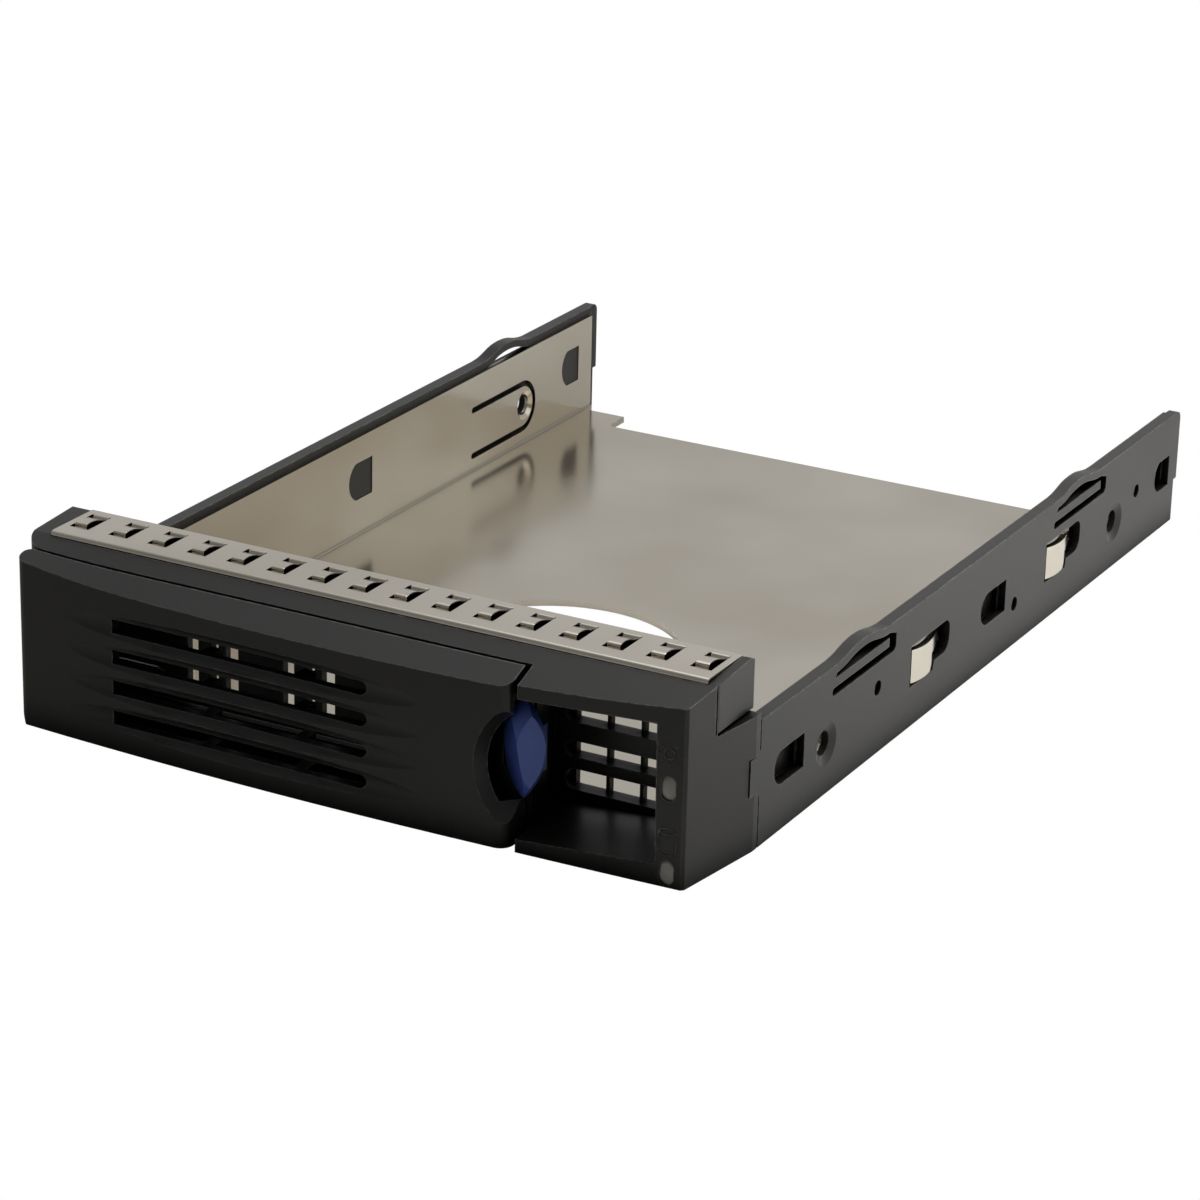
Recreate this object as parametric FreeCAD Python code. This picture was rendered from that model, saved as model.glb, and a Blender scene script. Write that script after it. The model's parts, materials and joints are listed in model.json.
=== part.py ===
import FreeCAD, Part
import math
import os

V = FreeCAD.Vector

# A swing-handle carrier for one disk drive. Sizes in mm.
# X runs across the front, Y runs back from the seam between bezel and rails, Z runs up from the
# underside. On export the origin moves to the middle of the length.

# ---- driving sizes ----
DRIVE_WIDTH = 101.6        # the drive that the tray holds
HOLE_SPACING = 101.6       # between the front and rear screw holes along one side of the drive
SIDE_PLAY = 0.1            # drive to tray wall
SHEET = 1.0                # tray metal
WALL_HEIGHT = 16.9         # tray wall
RAIL_THICK = 1.6
FLANGE = 1.2               # rail flange that caps the tray wall
RAIL_REAR = 148.0
BEZEL_DEPTH = 18.75        # seam to the bowed front of the handle
BEZEL_TOP = 26.27          # top edge behind the sloping face
STRIP = 0.3                # contact strip metal
HANDLE_WALL = 2.0
PIN_R = 0.6
SIDE_HOLE_Z = 7.4          # drive screw holes above the underside
SIDE_HOLE_FRONT = 20.27

# ---- clearances ----
SEAM = 0.3                 # rail end to bezel
RUN = 0.05                 # turning fit on the pin
SLIP = 0.1                 # latch to its guides
GAP = 0.4                  # handle to bezel along the top

# ---- derived positions ----
BAY = DRIVE_WIDTH / 2 + SIDE_PLAY          # tray wall, inner face
WALL_X = BAY + SHEET                       # tray wall, outer face
RAIL_X = WALL_X + RAIL_THICK               # rail, outer face
RAIL_TOP = WALL_HEIGHT + FLANGE
WALL_REAR = RAIL_REAR - 3.5
FLOOR_REAR = RAIL_REAR - 11.5
SIDE_HOLE_REAR = SIDE_HOLE_FRONT + HOLE_SPACING
FRONT_X = WALL_X - 0.5                     # bezel side at its front edge
CHEEK_X = WALL_X + 0.4                     # right cheek beside the contact strip
CHEEK_LEFT = RAIL_X + 0.4                  # left cheek, wider to carry the hinge
LEDGE_Z = RAIL_TOP + 1.1                   # bezel widens below this height
SHELF_Z = BEZEL_TOP + 0.33                 # seat of the contact strip
STRIP_X = BAY - 0.1
BLOCK_X = FRONT_X - 24.2                   # left face of the right-hand block
RECESS_X = FRONT_X - 4.2                   # column face inside the finger recess
HANDLE_LEFT = -(FRONT_X + 0.8)
HANDLE_RIGHT = BLOCK_X - 0.9
LIP_Y = -(BEZEL_DEPTH - 5.25)              # front edge of the bezel's floor and top plates
FLANGE_Y = LIP_Y - GAP                     # rear edge of the handle's top flange
COVER_Y = LIP_Y + 1.1                      # seat of the latch retainer
GRILLE_Y = -1.2                            # front of the grille bars
BULKHEAD_Y = LIP_Y + 6.1                   # front of the wall behind the handle
PIVOT = (HANDLE_LEFT + 1.6, LIP_Y - 1.45)
ROOF_Z = BEZEL_TOP - 2.67                  # underside of the bezel's top plate
HANDLE_FOOT = 0.3
ORIGIN_Y = (RAIL_REAR - BEZEL_DEPTH) / 2
Q = math.sqrt(0.5)


# ---- small tools ----
def lift(plane, u, v, w):
    return {"x": V(w, u, v), "y": V(u, w, v), "z": V(u, v, w)}[plane]


def outline(path, plane, at):
    """A closed face from points, ("arc", middle, end) and ("curve", pull, pull, end)."""
    edges = []
    here = path[0]
    for step in list(path[1:]) + [path[0]]:
        start = lift(plane, here[0], here[1], at)
        if step[0] == "arc":
            here = step[2]
            middle = lift(plane, step[1][0], step[1][1], at)
            edges.append(Part.Arc(start, middle, lift(plane, here[0], here[1], at)).toShape())
        elif step[0] == "curve":
            here = step[3]
            poles = [start] + [lift(plane, p[0], p[1], at) for p in step[1:]]
            bend = Part.BezierCurve()
            bend.setPoles(poles)
            edges.append(bend.toShape())
        else:
            end = lift(plane, step[0], step[1], at)
            if (end - start).Length > 1e-6:
                edges.append(Part.makeLine(start, end))
            here = step
    return Part.Face(Part.Wire(edges))


def prism(path, plane, a, b):
    return outline(path, plane, a).extrude(lift(plane, 0, 0, b - a))


def box(x0, x1, y0, y1, z0, z1):
    return Part.makeBox(x1 - x0, y1 - y0, z1 - z0, V(x0, y0, z0))


def rod(x, y, z, radius, length, axis):
    return Part.makeCylinder(radius, length, V(x, y, z), axis)


def mirror(shape):
    return shape.mirror(V(0, 0, 0), V(1, 0, 0))


def fuse(shapes):
    whole = shapes[0]
    if len(shapes) > 1:
        whole = whole.fuse(shapes[1:])
    return whole.removeSplitter()


def export(node, shape):
    moved = shape.copy()
    moved.translate(V(0, -ORIGIN_Y, 0))
    moved.exportStep("parts/" + node + ".step")
    print(node, len(moved.Solids), "solid", moved.isValid(), round(moved.Volume, 1))


# ---- steel tray ----
def tray_shell():
    """One sheet folded up at both sides, rounded at the folds."""
    inner = 0.3
    outer = inner + SHEET
    a = outer * (1 - Q)
    b = inner * (1 - Q)
    path = [
        (-WALL_X, WALL_HEIGHT),
        (-WALL_X, outer),
        ("arc", (-WALL_X + a, a), (-WALL_X + outer, 0)),
        (WALL_X - outer, 0),
        ("arc", (WALL_X - a, a), (WALL_X, outer)),
        (WALL_X, WALL_HEIGHT),
        (BAY, WALL_HEIGHT),
        (BAY, SHEET + inner),
        ("arc", (BAY - b, SHEET + b), (BAY - inner, SHEET)),
        (-BAY + inner, SHEET),
        ("arc", (-BAY + b, SHEET + b), (-BAY, SHEET + inner)),
        (-BAY, WALL_HEIGHT),
    ]
    return prism(path, "y", 0, WALL_REAR)


def floor_rear_cut():
    """The floor stops short of the walls and keeps a narrow stepped tab on the left."""
    edge = BAY - 0.3
    tab = -edge + 7.6
    path = [
        (edge, FLOOR_REAR),
        (tab + 0.6, FLOOR_REAR),
        (tab, FLOOR_REAR + 1.0),
        (tab, FLOOR_REAR + 5.5),
        (-edge, FLOOR_REAR + 5.5),
        (-edge, RAIL_REAR + 1),
        (edge, RAIL_REAR + 1),
    ]
    return prism(path, "z", -1, SHEET + 1)


def tongue_slot():
    """U slot that frees a spring tongue round the rear screw hole, cut along X."""
    middle = SIDE_HOLE_REAR - 0.9
    width = 1.0
    reach = 3.9
    front = middle - 16
    big = reach + width / 2
    small = reach - width / 2
    z = SIDE_HOLE_Z
    path = [
        (front, z - big),
        (middle, z - big),
        ("arc", (middle + big, z), (middle, z + big)),
        (front, z + big),
        ("arc", (front - width / 2, z + reach), (front, z + small)),
        (middle, z + small),
        ("arc", (middle + small, z), (middle, z - small)),
        (front, z - small),
        ("arc", (front - width / 2, z - reach), (front, z - big)),
    ]
    return prism(path, "x", BAY - 1, WALL_X + 1)


def d_window(y0, y1, z0, z1, x0, x1):
    """Window with a bowed front edge and a straight rear edge."""
    bow = (y1 - y0) * 0.3
    path = [
        (y0 + bow, z0),
        (y1, z0),
        (y1, z1),
        (y0 + bow, z1),
        ("arc", (y0, (z0 + z1) / 2), (y0 + bow, z0)),
    ]
    return prism(path, "x", x0, x1)


RIGHT_WINDOWS = [(4.5, 13.4), (71.1, 80.0), (RAIL_REAR - 9.6, RAIL_REAR - 3.6)]
LEFT_WINDOWS = [(1.8, 7.8), (67.1, 73.9), (RAIL_REAR - 13.7, RAIL_REAR - 8.0)]
WINDOW_Z = (6.7, 11.6)
LEFT_WINDOW_Z = (6.8, 12.8)
HOOK_Y = [47.9, 95.7]
HOOK_Z = (6.4, 11.4)


def hook_side(y, grow):
    """Side view of a hook: a hanging head with a rounded corner, and the neck behind it."""
    low, high = HOOK_Z
    g = grow
    r = 1.3
    end = y + 13.0
    head = y + 6.2 + g
    return [
        (y - g, low - g),
        (head - r, low - g),
        ("arc", (head - r * (1 - Q), low - g + r * (1 - Q)), (head, low - g + r)),
        (head, low + 2.6 - g),
        (end, low + 2.6 - g),
        (end, high - 0.4 + g),
        (y - g, high + g),
    ]


def hook(y):
    """Bowed leaf lanced out of the right wall: it leans out through the rail and curls back in."""
    side = prism(hook_side(y, 0), "x", WALL_X - 2, RAIL_X + 2)
    out = WALL_X + 1.1
    bowed = [
        (out, y - 0.5),
        ("curve", (out + 1.45, y + 2.6), (WALL_X + 2.0, y + 6.6), (WALL_X, y + 11.7)),
        (WALL_X, y + 13.0),
        (BAY, y + 13.0),
        (BAY, y + 11.5),
        ("curve", (BAY + 1.95, y + 6.6), (out + 0.5, y + 2.8), (out - 0.9, y - 0.5)),
    ]
    return side.common(prism(bowed, "z", 0, WALL_HEIGHT))


def hook_hole(y):
    """The opening that the hook leaves in the wall."""
    hole = prism(hook_side(y, 0.4), "x", BAY - 1, WALL_X + 1)
    keep = box(BAY - 2, WALL_X + 2, y + 12.0, y + 14, 0, WALL_HEIGHT)
    return hole.cut(keep)


def hook_window(y):
    """The rail's opening round a hook: tall at the head, low and rounded at the neck."""
    low, high = HOOK_Z
    rear = y + 12.2
    path = [
        (y - 1.0, low - 0.3),
        (y + 6.8, low - 0.3),
        (y + 7.2, low + 1.1),
        (rear - 2.0, low + 1.1),
        ("arc", (rear - 2.0 * (1 - Q), low + 1.1 + 2.0 * (1 - Q)), (rear, low + 3.1)),
        (rear, high - 0.6),
        ("arc", (rear - 1.5 * (1 - Q), high + 0.9 - 1.5 * (1 - Q)), (rear - 1.5, high + 0.9)),
        (y - 1.0, high + 0.9),
    ]
    return prism(path, "x", WALL_X - 1, RAIL_X + 1)


def side_holes(x0, x1, radius):
    return [rod(x0, y, SIDE_HOLE_Z, radius, x1 - x0, V(1, 0, 0)) for y in (SIDE_HOLE_FRONT, SIDE_HOLE_REAR)]


def coined_rims():
    """Shallow cones pressed into the inner face of a wall at its screw holes."""
    cones = []
    for y in (SIDE_HOLE_FRONT, SIDE_HOLE_REAR):
        cones.append(Part.makeCone(2.5, 1.75, 0.45, V(BAY, y, SIDE_HOLE_Z), V(1, 0, 0)))
    return cones


TAB_X = [-(BAY - 12.4), BLOCK_X - 17.6]
TAB_Z = 8.0


def front_tabs():
    """Two tabs turned up at the front of the floor for the bezel screws."""
    tabs = []
    for x in TAB_X:
        tab = box(x - 3.5, x + 3.5, 0, SHEET, 0.2, TAB_Z + 3.5)
        tabs.append(tab.cut(rod(x, -1, TAB_Z, 1.25, 3, V(0, 1, 0))))
    return tabs


def drive_tray():
    body = tray_shell()
    cuts = [floor_rear_cut(), rod(-2.4, 45.0, -1, 19.0, 4, V(0, 0, 1))]
    for y0, y1 in RIGHT_WINDOWS:
        cuts.append(d_window(y0, y1, WINDOW_Z[0], WINDOW_Z[1], BAY - 1, WALL_X + 1))
    for y0, y1 in LEFT_WINDOWS:
        cuts.append(mirror(d_window(y0, y1, LEFT_WINDOW_Z[0], LEFT_WINDOW_Z[1], BAY - 1, WALL_X + 1)))
    cuts += [hook_hole(y) for y in HOOK_Y]
    sides = [tongue_slot()] + side_holes(BAY - 1, WALL_X + 1, 1.75) + coined_rims()
    cuts += sides + [mirror(s) for s in sides]
    body = body.cut(cuts)
    return fuse([body] + [hook(y) for y in HOOK_Y] + front_tabs())


# ---- rails ----
TONGUE_Z = (8.1, 13.3)
FLANGE_X = WALL_X - 0.4        # inner edge of the flange


def rail_side():
    """Side view of a rail: stepped rear end, and a tongue at the front that keys into the bezel."""
    low, high = TONGUE_Z
    r = 1.3
    return [
        (SEAM, 0),
        (RAIL_REAR - 1.1, 0),
        (RAIL_REAR - 1.1, 6.8),
        (RAIL_REAR, 6.8),
        (RAIL_REAR, RAIL_TOP - r),
        ("arc", (RAIL_REAR - r * (1 - Q), RAIL_TOP - r * (1 - Q)), (RAIL_REAR - r, RAIL_TOP)),
        (SEAM, RAIL_TOP),
        (SEAM, high + 0.8),
        (-0.5, high),
        (-2.5, high),
        (-2.5, low),
        (-0.5, low),
        (SEAM, low - 0.8),
    ]


def hump_path(middle, half, rise, base):
    """A smooth bump that starts and ends level."""
    quarter = half / 2
    return [
        (middle - half, base),
        ("curve", (middle - quarter, base), (middle - quarter, base + rise), (middle, base + rise)),
        ("curve", (middle + quarter, base + rise), (middle + quarter, base), (middle + half, base)),
    ]


def spring_hump(middle, rise):
    """Bowed top beam over a slit tongue: what is added, and what is cut."""
    half = 8.8
    low = RAIL_TOP - 4.35
    tongue = (RAIL_TOP - 3.2, RAIL_TOP - 1.85)
    back = middle + 10.6
    add = prism(hump_path(middle, half, rise, RAIL_TOP - 0.01), "x", FLANGE_X, RAIL_X)
    arch = prism(hump_path(middle, half - 0.2, rise, WALL_HEIGHT), "x", FLANGE_X - 1, RAIL_X + 1)
    under = [
        (middle - half, tongue[1]),
        (middle - half + 0.5, WALL_HEIGHT),
        (back - 2.2, WALL_HEIGHT),
        (back, tongue[1]),
    ]
    under = prism(under, "x", WALL_X - 1, RAIL_X + 1)
    slit = [
        (middle - 9.0, low),
        (back - 0.9, low),
        ("arc", (back - 0.9 * (1 - Q), low + 0.9 * (1 - Q)), (back, low + 0.9)),
        (back, tongue[1]),
        (back - 2.3, tongue[1]),
        (back - 2.3, tongue[0]),
        (middle - 9.0, tongue[0]),
        ("arc", (middle - 9.55, (low + tongue[0]) / 2), (middle - 9.0, low)),
    ]
    slit = prism(slit, "x", WALL_X - 1, RAIL_X + 1)
    return add, [arch, slit, under]


def countersinks():
    """Wide shallow seats for flat-headed screws."""
    depth = 0.5
    cones = []
    for y in (SIDE_HOLE_FRONT, SIDE_HOLE_REAR):
        cones.append(Part.makeCone(1.75, 3.1, depth, V(RAIL_X - depth, y, SIDE_HOLE_Z), V(1, 0, 0)))
    return cones


def plain_rail(humps):
    """Right-hand rail without its windows."""
    wall = prism(rail_side(), "x", WALL_X, RAIL_X)
    cap = box(FLANGE_X, WALL_X, SEAM, RAIL_REAR - 2.5, WALL_HEIGHT, RAIL_TOP)
    added = [wall, cap]
    cuts = side_holes(WALL_X - 1, RAIL_X + 1, 1.75) + countersinks()
    for middle, rise in humps:
        add, cut = spring_hump(middle, rise)
        added.append(add)
        cuts += cut
    for y, z in ((36.2, 9.9), (83.5, 6.6), (130.6, 9.8)):
        cuts.append(rod(RAIL_X - 0.6, y, z, 1.1, 1, V(1, 0, 0)))
    return fuse(added).cut(cuts)


def window_lug(y0, y1, z):
    """Deep plate that stands in the sheet's window, tied to the rear edge of the rail's window."""
    low = z[0] + 0.1
    high = z[1] - 0.1
    plate = box(BAY + 0.15, WALL_X - 0.3, y0, y1 - 0.1, low, high)
    post = box(WALL_X - 0.35, WALL_X + 0.5, y1 - 0.6, y1 - 0.1, low, high)
    tie = box(WALL_X, WALL_X + 0.5, y1 - 0.6, y1 + 0.3, low, high)
    return fuse([plate, post, tie])


def right_rail():
    body = plain_rail([(31.1, 1.0), (106.8, 1.0)])
    cuts = [hook_window(y) for y in HOOK_Y]
    for y0, y1 in RIGHT_WINDOWS:
        cuts.append(d_window(y0, y1, WINDOW_Z[0], WINDOW_Z[1], WALL_X - 1, RAIL_X + 1))
    body = body.cut(cuts)
    lugs = [window_lug(y0 + (y1 - y0) * 0.3 + 0.1, y1, WINDOW_Z) for y0, y1 in RIGHT_WINDOWS]
    return fuse([body] + lugs)


def left_rail():
    body = plain_rail([(117.0, 1.3)])
    lugs = []
    for y0, y1 in LEFT_WINDOWS:
        low, high = LEFT_WINDOW_Z
        lug = d_window(y0 + 0.05, y1 - 0.05, low + 0.05, high - 0.05, BAY + 0.15, WALL_X + 0.3)
        lugs.append(lug)
    return mirror(fuse([body] + lugs))


# ---- the sloping top shared by bezel and handle ----
def top_slope(shift, height):
    """Solid above (height > 0) or below the slope from the front crease up to the bezel's top edge."""
    wide = RAIL_X + 1
    front = -(BEZEL_DEPTH + 0.45)
    rear = -10.0
    low = BEZEL_TOP - 3.52
    left_flat = HANDLE_LEFT + 18.2
    right_flat = BLOCK_X - 7.2
    left_rise = 1.2 * ((left_flat + wide) / 18.0) ** 2
    right_rise = 1.9 * ((wide - right_flat) / 31.4) ** 2
    runs = [
        [(-wide, low + left_rise), ((left_flat - wide) / 2, low), (left_flat, low)],
        [(left_flat, low), (right_flat, low)],
        [(right_flat, low), ((right_flat + wide) / 2, low), (wide, low + right_rise)],
    ]
    solids = []
    for run in runs:
        crease = Part.BezierCurve()
        crease.setPoles([V(x, front, z + shift) for x, z in run])
        ridge = Part.BezierCurve()
        ridge.setPoles([V(x, rear, BEZEL_TOP + shift) for x, z in run])
        face = Part.makeRuledSurface(crease.toShape(), ridge.toShape())
        solids.append(face.extrude(V(0, 0, height)))
    return solids


# ---- bezel ----
def front_arc(x):
    """Depth of the bezel's bowed front at x."""
    return -(BEZEL_DEPTH - 0.83) + x * x / 2082.0


def bezel_plan():
    """Bowed front, a right side that widens toward the rail, and a straight left cheek."""
    x = FRONT_X
    y = front_arc(x)
    right = [(x, y + 0.4), (RAIL_X, -1.2), (RAIL_X, 0)]
    left = [(-CHEEK_LEFT, 0), (-CHEEK_LEFT, LIP_Y - 1)]
    return right + left + [(-x + 0.4, y), ("arc", (0, front_arc(0)), (x - 0.4, y))]


def bezel_hull():
    hull = prism(bezel_plan(), "z", 0, BEZEL_TOP + 3)
    hull = hull.cut(box(CHEEK_X, RAIL_X + 2, -30, 2, LEDGE_Z, BEZEL_TOP + 4))
    wide = RAIL_X + 2
    cheek_top = [
        (-30, BEZEL_TOP),
        (-10, BEZEL_TOP),
        (-0.9, BEZEL_TOP + 0.65),
        (1, BEZEL_TOP - 0.2),
        (1, BEZEL_TOP + 5),
        (-30, BEZEL_TOP + 5),
    ]
    shelf = [
        (-9.6, SHELF_Z),
        (-9.6, SHELF_Z - 0.7),
        (-10.4, SHELF_Z - 0.7),
        (-10.4, BEZEL_TOP + 5),
        (1, BEZEL_TOP + 5),
        (1, SHELF_Z),
    ]
    drop = 4.2
    bevel = 0.45
    rebate = [
        (-STRIP - bevel, SHELF_Z),
        (-STRIP - bevel, SHELF_Z + 1),
        (1, SHELF_Z + 1),
        (1, SHELF_Z - drop),
        (-STRIP, SHELF_Z - drop),
        (-STRIP, SHELF_Z - bevel),
    ]
    cuts = top_slope(0, 12) + [prism(cheek_top, "x", -wide, wide), prism(shelf, "x", -BAY, BAY)]
    cuts.append(prism(rebate, "x", -STRIP_X - 0.1, STRIP_X + 0.1))
    return hull.cut(cuts)


def handle_bay():
    """Everything in front of the plates, left of the block, with a rounded left corner."""
    r = 4.2
    cx = -CHEEK_LEFT + r
    cy = LIP_Y + r
    path = [
        (BLOCK_X, -30),
        (BLOCK_X, LIP_Y),
        (cx, LIP_Y),
        ("arc", (cx - r * Q, cy - r * Q), (cx - r, cy)),
        (-RAIL_X - 5, cy),
        (-RAIL_X - 5, -30),
    ]
    return prism(path, "z", -1, 40)


RECESS_ROWS = [(13.0, 15.4), (8.0, 10.3), (3.3, 6.3)]
RECESS_WALL = 2.4              # depth of the wall behind the finger recess
BARS = [(BLOCK_X - 0.3) + 5.05 * k for k in range(4)]
VENT_ROWS = [(12.1, 14.6), (7.6, 9.9)]
VENT_GROUPS = [BLOCK_X - 26.6 - 15.5 * k for k in range(3)]
BULKHEAD = 1.2                 # wall behind the handle
STEP_X = BLOCK_X - 2.7         # where that wall steps back behind the recess


def recess_openings():
    """Three openings with rounded ends behind the finger recess."""
    holes = []
    for low, high in RECESS_ROWS:
        r = (high - low) / 2
        path = [
            (BLOCK_X - 1.1 + r, low),
            (RECESS_X - 0.7, low),
            (RECESS_X - 0.7, high),
            (BLOCK_X - 1.1 + r, high),
            ("arc", (BLOCK_X - 1.1, (low + high) / 2), (BLOCK_X - 1.1 + r, low)),
        ]
        holes.append(prism(path, "y", -RECESS_WALL - 0.5, 1))
    return holes


def recess_bars():
    """Narrow upright bars across the rear half of those openings."""
    top = RECESS_ROWS[0][1] + 0.5
    return [box(x - 0.25, x + 0.25, GRILLE_Y, 0, 1.0, top) for x in BARS]


def bulkhead_openings():
    """Groups of three openings in two rows, and one long slit below them."""
    front = BULKHEAD_Y - 0.5
    rear = BULKHEAD_Y + BULKHEAD + 0.5
    holes = []
    for x in VENT_GROUPS:
        for a, b in ((0, 1.7), (3.9, 5.0), (6.2, 8.2)):
            for low, high in VENT_ROWS:
                holes.append(box(x + a, x + b, front, rear, low, high))
    holes.append(box(VENT_GROUPS[-1] - 6.0, STEP_X - 20.0, front, rear, 4.1, 4.7))
    return holes


def finger_recess():
    path = [
        (BLOCK_X - 1, 1.8),
        (RECESS_X + 0.1, 3.0),
        (RECESS_X - 0.1, BEZEL_TOP - 3.9),
        (BLOCK_X - 1, BEZEL_TOP - 4.8),
    ]
    return prism(path, "y", -30, -RECESS_WALL)


PIPE_X = FRONT_X - 2.4
PIPES = [("upper_light_pipe", 13.75), ("lower_light_pipe", 2.0)]


def pipe_head(z, grow, y0, y1):
    """Upright oval, square to Y."""
    a = 1.0 + grow
    h = 1.7 + grow
    path = [
        (PIPE_X - a, z - h + a),
        ("arc", (PIPE_X, z - h), (PIPE_X + a, z - h + a)),
        (PIPE_X + a, z + h - a),
        ("arc", (PIPE_X, z + h), (PIPE_X - a, z + h - a)),
    ]
    return prism(path, "y", y0, y1)


LUG_Z = [(3.0, 5.2), (BEZEL_TOP - 7.7, BEZEL_TOP - 5.5)]
LUG_R = 1.1


def hinge_lugs():
    """Two arms that reach forward from the left cheek and hold the pin."""
    px, py = PIVOT
    r = LUG_R
    root = LIP_Y + 4.5
    side = -CHEEK_LEFT + 0.5
    lugs = []
    for low, high in LUG_Z:
        path = [
            (px + r, py),
            (px + r, root),
            (side, root),
            (side, root - 1.9),
            (px - r, py + 2.3),
            (px - r, py),
            ("arc", (px, py - r), (px + r, py)),
        ]
        lugs.append(prism(path, "z", low, high))
    return lugs


def lug_span():
    px, py = PIVOT
    spans = [box(px - 2, px + 2, py - 2, py + 2, low - 0.1, high + 0.1) for low, high in LUG_Z]
    return spans[0].fuse(spans[1])


KEEPER_X = BLOCK_X - 3.1
KEEPER_Y = COVER_Y + 0.6


def bezel_rooms():
    """The bezel's hollows: in front of the bulkhead, beside it, behind it, and in the column."""
    inner = CHEEK_LEFT - 1.6
    front = front_arc(FRONT_X) + 2.6
    low = 1.6
    return [
        handle_bay(),
        finger_recess(),
        box(-inner, BLOCK_X, -30, BULKHEAD_Y, low, ROOF_Z),
        box(STEP_X, BLOCK_X, -30, -RECESS_WALL, low, ROOF_Z),
        box(-CHEEK_LEFT - 2, -inner + 0.1, -30, LIP_Y + 1.0, low, ROOF_Z),
        box(-inner, STEP_X - BULKHEAD, BULKHEAD_Y + BULKHEAD, 1, low, SHELF_Z - 4.6),
        box(RECESS_X + 1.0, RAIL_X - 2.0, front, 1, 4.6, ROOF_Z - 4),
        box(PIPE_X - 1.2, PIPE_X + 1.2, front, 1, 0.6, 4.7),
    ]


def tongue_notch():
    """Slots in the cheeks for the rails' front tongues."""
    low, high = TONGUE_Z
    path = [
        (1, high + 1.6),
        (SEAM, high + 0.9),
        (-0.55, high + 0.05),
        (-2.6, high + 0.05),
        (-2.6, low - 0.05),
        (-0.55, low - 0.05),
        (SEAM, low - 0.9),
        (1, low - 1.6),
    ]
    slot = prism(path, "x", WALL_X - 0.05, RAIL_X + 1)
    return [slot, mirror(slot)]


def side_grooves():
    """A dark line over the right ledge and a fine upright line where the taper stops."""
    along = box(CHEEK_X - 0.5, CHEEK_X + 1, -10.0, 1, LEDGE_Z, LEDGE_Z + 0.5)
    upright = box(CHEEK_X - 0.3, CHEEK_X + 1, -10.45, -10.15, LEDGE_Z + 0.3, BEZEL_TOP - 0.1)
    return [along, upright]


def bezel():
    body = bezel_hull().cut(bezel_rooms())
    body = body.cut(recess_openings() + bulkhead_openings())
    boss = BULKHEAD_Y + BULKHEAD - 0.1
    parts = [body] + recess_bars() + hinge_lugs()
    parts.append(box(KEEPER_X, KEEPER_X + 1.5, KEEPER_Y, KEEPER_Y + 1.6, 1.5, ROOF_Z + 0.1))
    parts += [rod(x, boss, TAB_Z, 2.4, -boss, V(0, 1, 0)) for x in TAB_X]
    body = fuse(parts)
    cuts = [rod(x, -SCREW_REACH, TAB_Z, 0.9, SCREW_REACH + 1, V(0, 1, 0)) for x in TAB_X]
    cuts += [pipe_head(z, 0.0, -30, 0) for node, z in PIPES]
    cuts.append(rod(PIVOT[0], PIVOT[1], 2.0, PIN_R, 22, V(0, 0, 1)).common(lug_span()))
    cuts += side_grooves() + tongue_notch() + strip_channel()
    return body.cut(cuts)


# ---- contact strip ----
FINGERS = 16
WINDOW_Y = (-7.45, -1.95)
WINDOW_HALF = 1.55
STEP = 0.45                    # the fingers' root lies this far below the strip's top


def finger_centres():
    pitch = 2 * STRIP_X / 15.8
    return [(k - (FINGERS - 1) / 2) * pitch for k in range(FINGERS)]


def strip_channel():
    """Trench in the shelf under the strip's windows, leaving room for the fingers."""
    edge = STRIP_X - 0.8
    return [box(-edge, edge, WINDOW_Y[0] - 0.4, WINDOW_Y[1] + 0.4, SHELF_Z - 1.6, SHELF_Z + 1)]


def strip_section():
    """Flat top, rolled front lip, and a flange turned down at the back."""
    top = SHELF_Z + STRIP
    r = 0.7
    inner = r - STRIP
    front = -9.6
    rear = -r
    path = [
        (front, top),
        (rear, top),
        ("arc", (rear + r * Q, top - r + r * Q), (0, top - r)),
        (0, SHELF_Z - 4.1),
        (-STRIP, SHELF_Z - 4.1),
        (-STRIP, top - r),
        ("arc", (rear + inner * Q, top - r + inner * Q), (rear, top - STRIP)),
        (front, top - STRIP),
        ("arc", (front - inner * Q, top - r + inner * Q), (front - inner, top - r)),
        (front - r, top - r),
        ("arc", (front - r * Q, top - r + r * Q), (front, top)),
    ]
    return path


def contact_finger(x):
    """Sprung finger: a stepped root at the rear of its window, an arch, and a lip turned down in front."""
    top = SHELF_Z + STRIP
    rear = WINDOW_Y[1]
    front = WINDOW_Y[0] + 0.15
    foot = rear - 0.6
    peak = (foot + front) / 2
    t = 0.25
    low = top - STEP
    path = [
        (foot, low),
        ("arc", (peak, top + 0.8), (front, top - 0.1)),
        (front, low - 0.05),
        (front + t, low - 0.05),
        (front + t, top - 0.15),
        ("arc", (peak, top + 0.8 - t), (foot, low - t)),
    ]
    finger = prism(path, "x", x - 0.82, x + 0.82)
    ledge = box(x - WINDOW_HALF, x + WINDOW_HALF, foot - 0.05, rear + 0.3, low - t, low)
    riser = box(x - WINDOW_HALF, x + WINDOW_HALF, rear, rear + 0.3, low - t, top - 0.1)
    return fuse([finger, ledge, riser])


def emi_spring_strip():
    body = prism(strip_section(), "x", -STRIP_X, STRIP_X)
    y0, y1 = WINDOW_Y
    windows = []
    for x in finger_centres():
        windows.append(box(x - WINDOW_HALF, x + WINDOW_HALF, y0, y1, SHELF_Z - 1, SHELF_Z + 2))
    body = body.cut(windows)
    return fuse([body] + [contact_finger(x) for x in finger_centres()])


# ---- handle ----
def bow(x):
    """Depth of the handle's bowed front face at x."""
    return -BEZEL_DEPTH + x * x / 1417.0


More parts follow.
